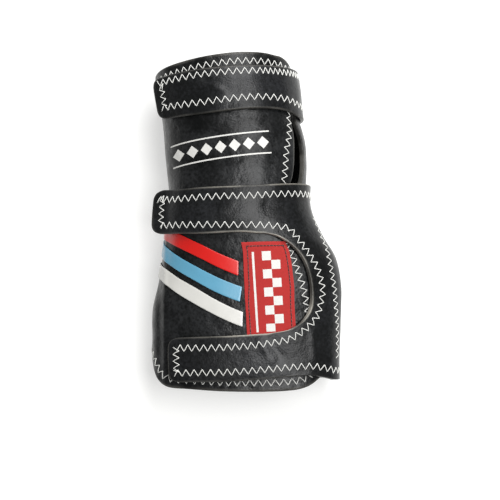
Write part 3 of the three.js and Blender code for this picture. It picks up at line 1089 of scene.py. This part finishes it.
def woven_label_cloth(name, red, white):
    """Damask-woven polyester: matt, with a fine rib of weft threads. Real threads are about 0.2 mm,
    which is too fine to show, so the rib is drawn wider."""
    material, tree, shader = new_material(name, Roughness=0.82, Sheen_Weight=0.25)
    pattern = add_node(tree, "UVMap", uv_map="pattern")
    across = add_node(tree, "SeparateXYZ", {0: pattern}, "X")
    along = add_node(tree, "SeparateXYZ", {0: pattern}, "Y")
    off = add_node(tree, "Math", {0: across, 1: BAND_MIDDLE}, operation="SUBTRACT")
    off_middle = add_node(tree, "Math", {0: off}, operation="ABSOLUTE")
    in_band = add_node(tree, "Math", {0: off_middle, 1: CHECK}, operation="LESS_THAN")
    column = add_node(tree, "Math", {0: off, 1: 0.0}, operation="GREATER_THAN")
    repeat = add_node(tree, "Math", {0: along, 1: 2 * CHECK}, operation="MODULO")
    row = add_node(tree, "Math", {0: repeat, 1: CHECK}, operation="GREATER_THAN")
    both = add_node(tree, "Math", {0: column, 1: row}, operation="ADD")
    one_of_both = add_node(tree, "Math", {0: both, 1: 1.0, 2: 0.1}, operation="COMPARE")
    check = add_node(tree, "Math", {0: in_band, 1: one_of_both}, operation="MULTIPLY")
    line = {0: across, 1: RULE_AT, 2: LABEL_RULE_HALF}
    rule = add_node(tree, "Math", line, operation="COMPARE")
    figure = add_node(tree, "Math", {0: check, 1: rule}, operation="MAXIMUM")
    middle = LABEL_LENGTH / 2
    ends = {0: along, 1: middle, 2: middle - ORNAMENT_END}
    inside = add_node(tree, "Math", ends, operation="COMPARE")
    shown = add_node(tree, "Math", {0: figure, 1: inside}, operation="MULTIPLY")

    ribs = {"Vector": pattern, "Scale": math.pi / (10 * WEFT), "Distortion": 0.4, "Detail": 1.0}
    bands = {"wave_type": "BANDS", "bands_direction": "Y"}
    weft = add_node(tree, "TexWave", ribs, "Fac", **bands)
    spots = {"Vector": pattern, "Scale": 1 / CLOTH_SPOTS, "Detail": 3.0}
    mottled = add_node(tree, "TexNoise", spots)
    tints = {"Factor": mottled, FIRST: shade(red, 0.82), SECOND: shade(red, 1.12)}
    ground = add_node(tree, "Mix", tints, **COLOUR_MIX)
    woven = add_node(tree, "Mix", {"Factor": shown, FIRST: ground, SECOND: white}, **COLOUR_MIX)
    ribbed = add_node(tree, "Bump", {"Height": weft, "Distance": WEFT_DEEP * MM})
    wire(tree, shader, Base_Color=woven, Normal=ribbed)
    return material


def spun_thread(name, colour):
    """Bonded polyester thread: bright, matt and slightly hairy."""
    material, tree, shader = new_material(name, Roughness=0.6, Sheen_Weight=0.3)
    twist = {"Vector": millimetre_places(tree), "Scale": 1 / PLIES_WIDE, "Detail": 2.0}
    plies = add_node(tree, "TexNoise", twist)
    tints = {"Factor": plies, FIRST: shade(colour, 0.8), SECOND: colour}
    spun = add_node(tree, "Mix", tints, **COLOUR_MIX)
    twisted = add_node(tree, "Bump", {"Height": plies, "Distance": PLIES_DEEP * MM})
    wire(tree, shader, Base_Color=spun, Normal=twisted)
    return material


def lit_floor(name, colour):
    """Opal acrylic of a light table: matt white and softly lit from below, so shadows stay pale."""
    material, tree, shader = new_material(name, Roughness=0.9, Emission_Strength=FLOOR_GLOW)
    shader.inputs["Emission Color"].default_value = (*colour, 1)
    spots = {"Vector": millimetre_places(tree), "Scale": 1 / BOARD_SPOTS, "Detail": 2.0}
    clouds = add_node(tree, "TexNoise", spots)
    tints = {"Factor": clouds, FIRST: shade(colour, 0.97), SECOND: colour}
    wire(tree, shader, Base_Color=add_node(tree, "Mix", tints, **COLOUR_MIX))
    return material


# Settings that a user would change


def length_setting(name, words, default):
    return bpy.props.FloatProperty(
        name=name, description=words, default=default, min=0.00005, precision=5, unit="LENGTH"
    )


class GloveSizes(bpy.types.PropertyGroup):
    thread: length_setting("Thread", "Thickness of the white thread", 0.0004)
    zigzag_width: length_setting("Zigzag width", "From side to side of a stitch row", 0.0033)
    zigzag_pitch: length_setting("Zigzag pitch", "From one point of the zigzag to the next", 0.0042)
    label_thread: length_setting("Label thread", "Thickness of the label's dark thread", 0.0005)
    label_pitch: length_setting("Label stitch", "Length of a stitch round the label", 0.0017)
    grain: length_setting("Grain", "Size of the leather's grain", 0.0009)
    crumple: length_setting("Crumple", "Size of the leather's soft creases", 0.0052)


def colour_setting(name, words, code):
    return bpy.props.FloatVectorProperty(
        name=name, description=words, subtype="COLOR", size=3, min=0, max=1, default=linear(code)
    )


class GloveColours(bpy.types.PropertyGroup):
    panel_leather: colour_setting("Panel", "Black of the back and palm panels", "#060707")
    # The paler colour of the panels is partly wear and partly a painted sheen
    panel_worn: colour_setting("Panel, worn", "Where the panels' finish has rubbed", "#222324")
    strap_leather: colour_setting("Strap", "Black of both straps", "#090a0a")
    # The paler colour of the straps is partly wear and partly a painted sheen
    strap_worn: colour_setting("Strap, worn", "Where the straps' finish has rubbed", "#212224")
    # Raw edge colour that also serves as a painted highlight on the hand strap's edges
    cut_edge: colour_setting("Cut edge", "Raw leather at the rubbed cut edges", "#97938a")
    white_thread: colour_setting("White thread", "Thread of the zigzag rows", "#e2e2dd")
    dark_thread: colour_setting("Dark thread", "Thread round the label", "#1d0a0c")
    stripe_red: colour_setting("Red stripe", "Vinyl of the red stripe", "#c40e06")
    stripe_blue: colour_setting("Blue stripe", "Vinyl of the blue stripe", "#5692ad")
    stripe_white: colour_setting("White stripe", "Vinyl of the white stripe", "#c6c5c0")
    label_red: colour_setting("Label", "Red ground of the label", "#a21712")
    white_ink: colour_setting("Ornament", "White of the printed and woven ornaments", "#cfceca")
    floor: colour_setting("Floor", "Board that the glove lies on", "#bcbcbb")


def panel_finish(rim):
    """The finish of what follows the back panel's own surface."""
    return Finish("panel", 1, 1.0, rim, dark_cut, flat)


class GLOVE_OT_back_panel(bpy.types.Operator):
    """Builds the back panel and its stitching"""

    bl_idname = "glove.back_panel"
    bl_label = "Back panel"

    def execute(self, context):
        colours = context.scene.glove_colours
        finish = panel_finish(0.6)
        piece = leather_wall("back_panel_leather", BACK_CELLS, back_place, level(0), LEATHER, finish)
        smooth_once(piece)
        leather = grained_leather(
            "printed_black_cowhide",
            colours.panel_leather,
            colours.panel_worn,
            PANEL_CRUMPLE,
            colours.white_ink,
        )
        dress(piece, "back_panel", leather)
        rows = [
            StitchRow(seam_line(BACK_THUMB_SEAM), 0, 0, 0, 4.0),
            StitchRow(edge_line(BACK_EDGES, "low", -114, 55), 4.3, 1, 4, 4.2),
            StitchRow(edge_line(BACK_EDGES, "high", 80, -114), 4.6, 4, 1, 4.0),
        ]
        zigzag_stitches("back_panel_stitches", rows, level(LEATHER), piece)
        return {"FINISHED"}


class GLOVE_OT_palm_panel(bpy.types.Operator):
    """Builds the panel on the palm side"""

    bl_idname = "glove.palm_panel"
    bl_label = "Palm panel"

    def execute(self, context):
        colours = context.scene.glove_colours
        finish = Finish("palm", 2, 0.0, 0.6, dark_cut, flat)
        piece = leather_wall("palm_panel_leather", PALM_CELLS, palm_place, level(0), LEATHER, finish)
        smooth_once(piece)
        leather = grained_leather(
            "black_cowhide", colours.panel_leather, colours.panel_worn, PANEL_CRUMPLE
        )
        dress(piece, "palm_panel", leather)
        return {"FINISHED"}


class GLOVE_OT_straps(bpy.types.Operator):
    """Builds the wrist strap and the C-shaped hand strap, with their stitching"""

    bl_idname = "glove.straps"
    bl_label = "Straps"

    def execute(self, context):
        colours = context.scene.glove_colours
        leather = grained_leather(
            "black_strap_cowhide", colours.strap_leather, colours.strap_worn, STRAP_CRUMPLE
        )
        wrist_swell = crown_between([WRIST_STRAP_EDGES], 90, 120)
        wrist = leather_wall(
            "wrist_strap_leather",
            (WRIST_CELLS, LAST_STRAP_ROW),
            wrist_place,
            wrist_strap_lift,
            STRAP_LEATHER,
            Finish("wrist_strap", 3, 1.0, 0.7, dark_cut, wrist_swell),
        )
        hand_swell = crown_between([MIDDLE_EDGES, LOWER_EDGES], 0, 30)
        hand = leather_wall(
            "hand_strap_leather",
            (TAB_CELLS + BAND_CELLS + ARM_CELLS, 2 * LAST_STRAP_ROW + BAND_ROWS),
            hand_place,
            hand_strap_lift,
            STRAP_LEATHER,
            Finish("hand_strap", 4, 1.0, 0.8, pale_cut_and_highlight, hand_swell),
            hand_present,
        )
        for piece, node in ((wrist, "wrist_strap"), (hand, "hand_strap")):
            smooth_once(piece)
            dress(piece, node, leather)
        wrist_rows = [
            StitchRow(edge_line(WRIST_STRAP_EDGES, "high", 27, WRIST_TAB), 3.0, 0, 3.2, 4.0),
            StitchRow(edge_line(WRIST_STRAP_EDGES, "high", STRAP_END, 27), 3.0, 4, 0, 2.8),
            StitchRow(edge_line(WRIST_STRAP_EDGES, "low", WRIST_TAB, STRAP_END), 5.7, 3.2, 4, 4.1),
            StitchRow(tab_end(wrist_place, 0), 5.4, 1.2, 4.0, 3.4),
        ]
        hand_rows = [
            StitchRow(edge_line(MIDDLE_EDGES, "high", STRAP_END, MIDDLE_TAB), 5.0, 4, 3.2, 4.1),
            StitchRow(seam_line(MIDDLE_LOW_SEAM), 0, 0, 0, 4.3),
            StitchRow(tab_end(hand_place, LAST_STRAP_ROW + BAND_ROWS), 4.8, 1.5, 1.5, 3.4),
            StitchRow(seam_line(ROUND_SEAM), 0, 0, 0, 3.9),
            StitchRow(seam_line(STRAP_THUMB_SEAM), 0, 0, 0, 3.6),
            StitchRow(edge_line(LOWER_EDGES, "low", LOWER_TAB, STRAP_END), 4.5, 3.2, 4, 4.1),
            StitchRow(tab_end(hand_place, 0), 4.3, 3.2, 2.0, 3.4),
        ]
        wrist_top = on_top(wrist_strap_lift, STRAP_LEATHER)
        zigzag_stitches("wrist_strap_stitches", wrist_rows, wrist_top, wrist)
        hand_top = on_top(hand_strap_lift, STRAP_LEATHER)
        zigzag_stitches("hand_strap_stitches", hand_rows, hand_top, hand)
        return {"FINISHED"}


class GLOVE_OT_stripes(bpy.types.Operator):
    """Builds the three slanting vinyl stripes"""

    bl_idname = "glove.stripes"
    bl_label = "Stripes"

    def execute(self, context):
        finish = panel_finish(0.12)
        for name in STRIPE_LINES:
            place = stripe_place(name)
            piece = leather_wall(name + "_vinyl", STRIPE_CELLS, place, on_panel, STRIPE_VINYL, finish)
            colour_word = name.replace("stripe_", "")
            colour = getattr(context.scene.glove_colours, name)
            vinyl = glossy_vinyl(colour_word + "_pvc_sheet", colour)
            dress(piece, name, vinyl)
        return {"FINISHED"}


class GLOVE_OT_label(bpy.types.Operator):
    """Builds the woven label and the dark stitching round it"""

    bl_idname = "glove.label"
    bl_label = "Label"

    def execute(self, context):
        colours = context.scene.glove_colours
        finish = panel_finish(0.18)
        piece = leather_wall("label_cloth", LABEL_CELLS, label_place, on_panel, LABEL_CLOTH, finish)
        corner = (on_form(*label_at(0, 0), on_panel(0)) + ORIGIN).xy
        side = ((on_form(*label_at(0, 1), on_panel(0)) + ORIGIN).xy - corner).normalized()
        for entry in piece.data.uv_layers["pattern"].data:
            if entry.uv.x != NO_PATTERN:
                here = entry.uv - corner
                entry.uv = (here.dot(Vector((side.y, -side.x))), here.dot(side))
        cloth = woven_label_cloth("red_damask_label", colours.label_red, colours.white_ink)
        dress(piece, "label", cloth)
        steps = [k / LABEL_SIDE_STEPS for k in range(LABEL_SIDE_STEPS + 1)]
        sides = [
            [label_at(0, 1 - step) for step in steps],
            [label_at(step, 0) for step in steps],
            [label_at(1, step) for step in steps],
            [label_at(1 - step, 1) for step in steps],
        ]
        pitch_mm = context.scene.glove_sizes.label_pitch / MM
        rows = [StitchRow(line, 2.0, 2.0, 2.0, pitch_mm) for line in sides]
        running_stitches("label_stitches", rows, on_top(on_panel, LABEL_CLOTH), piece)
        return {"FINISHED"}


# The camera stands over the glove, 8 degrees towards the finger hem from straight above
CAMERA_TARGET = Vector((0.0, 72.0, 25.0))
CAMERA_ELEVATION = 82
CAMERA_DISTANCE = 1.2
CAMERA_LENS = 172.8
CAMERA_SENSOR = 36

LampRow = namedtuple("LampRow", "name azimuth elevation distance size power")
LAMPS = table(
    LampRow,
    ("key_softbox", 75, 71, 1.1, 0.6, 10.3),
    ("cuff_softbox", 160, 52, 0.65, 0.35, 3.8),
)
LAMP_TARGET = Vector((0, 0, 0.03))
ROOM_LIGHT = 0.24
FLOOR_GLOW = 1.12
FLOOR_HALF = 3.0


def direction(azimuth, elevation):
    """A direction from the object, azimuth 0 towards the finger hem and 90 towards the thumb side."""
    a, e = math.radians(azimuth), math.radians(elevation)
    return Vector((math.sin(a) * math.cos(e), -math.cos(a) * math.cos(e), math.sin(e)))


def aim(thing, target, towards):
    thing.location = target + towards
    thing.rotation_euler = (-towards).to_track_quat("-Z", "Y").to_euler()


class GLOVE_OT_stage(bpy.types.Operator):
    """Sets up the floor, the lamps and the camera"""

    bl_idname = "glove.stage"
    bl_label = "Stage"

    def execute(self, context):
        scene = context.scene
        bm = bmesh.new()
        bmesh.ops.create_grid(bm, x_segments=1, y_segments=1, size=FLOOR_HALF)
        floor = new_object("floor", mesh_of("floor", bm))
        floor.data.materials.append(lit_floor("opal_acrylic_board", scene.glove_colours.floor))
        world = bpy.data.worlds.new("soft_room")
        scene.world = world
        scene.view_settings.view_transform = "Standard"
        world.use_nodes = True
        background = world.node_tree.nodes["Background"]
        background.inputs["Color"].default_value = (1, 1, 1, 1)
        background.inputs["Strength"].default_value = ROOM_LIGHT
        for row in LAMPS:
            data = bpy.data.lights.new(row.name, "AREA")
            data.size = row.size
            data.energy = row.power
            lamp = new_object(row.name, data)
            aim(lamp, LAMP_TARGET, direction(row.azimuth, row.elevation) * row.distance)
        data = bpy.data.cameras.new("photo_camera")
        data.lens = CAMERA_LENS
        data.sensor_width = CAMERA_SENSOR
        camera = new_object("photo_camera", data)
        target = (CAMERA_TARGET + ORIGIN) * MM
        aim(camera, target, direction(0, CAMERA_ELEVATION) * CAMERA_DISTANCE)
        scene.camera = camera
        return {"FINISHED"}


class GLOVE_PT_panel(bpy.types.Panel):
    """Lists the glove's sizes and its builders"""

    bl_label = "Bowling Glove"
    bl_idname = "GLOVE_PT_panel"
    bl_space_type = "VIEW_3D"
    bl_region_type = "UI"
    bl_category = "Bowling Glove"

    def draw(self, context):
        for name in GloveSizes.__annotations__:
            self.layout.prop(context.scene.glove_sizes, name)
        for name in GloveColours.__annotations__:
            self.layout.prop(context.scene.glove_colours, name)
        for operator in OPERATORS:
            self.layout.operator(operator.bl_idname)


OPERATORS = [
    GLOVE_OT_stage,
    GLOVE_OT_back_panel,
    GLOVE_OT_palm_panel,
    GLOVE_OT_stripes,
    GLOVE_OT_label,
    GLOVE_OT_straps,
]


CLASSES = [GloveSizes, GloveColours, *OPERATORS, GLOVE_PT_panel]


def register():
    for kind in CLASSES:
        bpy.utils.register_class(kind)
    bpy.types.Scene.glove_sizes = bpy.props.PointerProperty(type=GloveSizes)
    bpy.types.Scene.glove_colours = bpy.props.PointerProperty(type=GloveColours)


def unregister():
    del bpy.types.Scene.glove_sizes
    del bpy.types.Scene.glove_colours
    for kind in reversed(CLASSES):
        bpy.utils.unregister_class(kind)


def main():
    register()
    bpy.ops.glove.stage()
    bpy.ops.glove.back_panel()
    bpy.ops.glove.palm_panel()
    bpy.ops.glove.stripes()
    bpy.ops.glove.label()
    bpy.ops.glove.straps()
    bpy.context.view_layer.update()


if __name__ == "__main__":
    main()
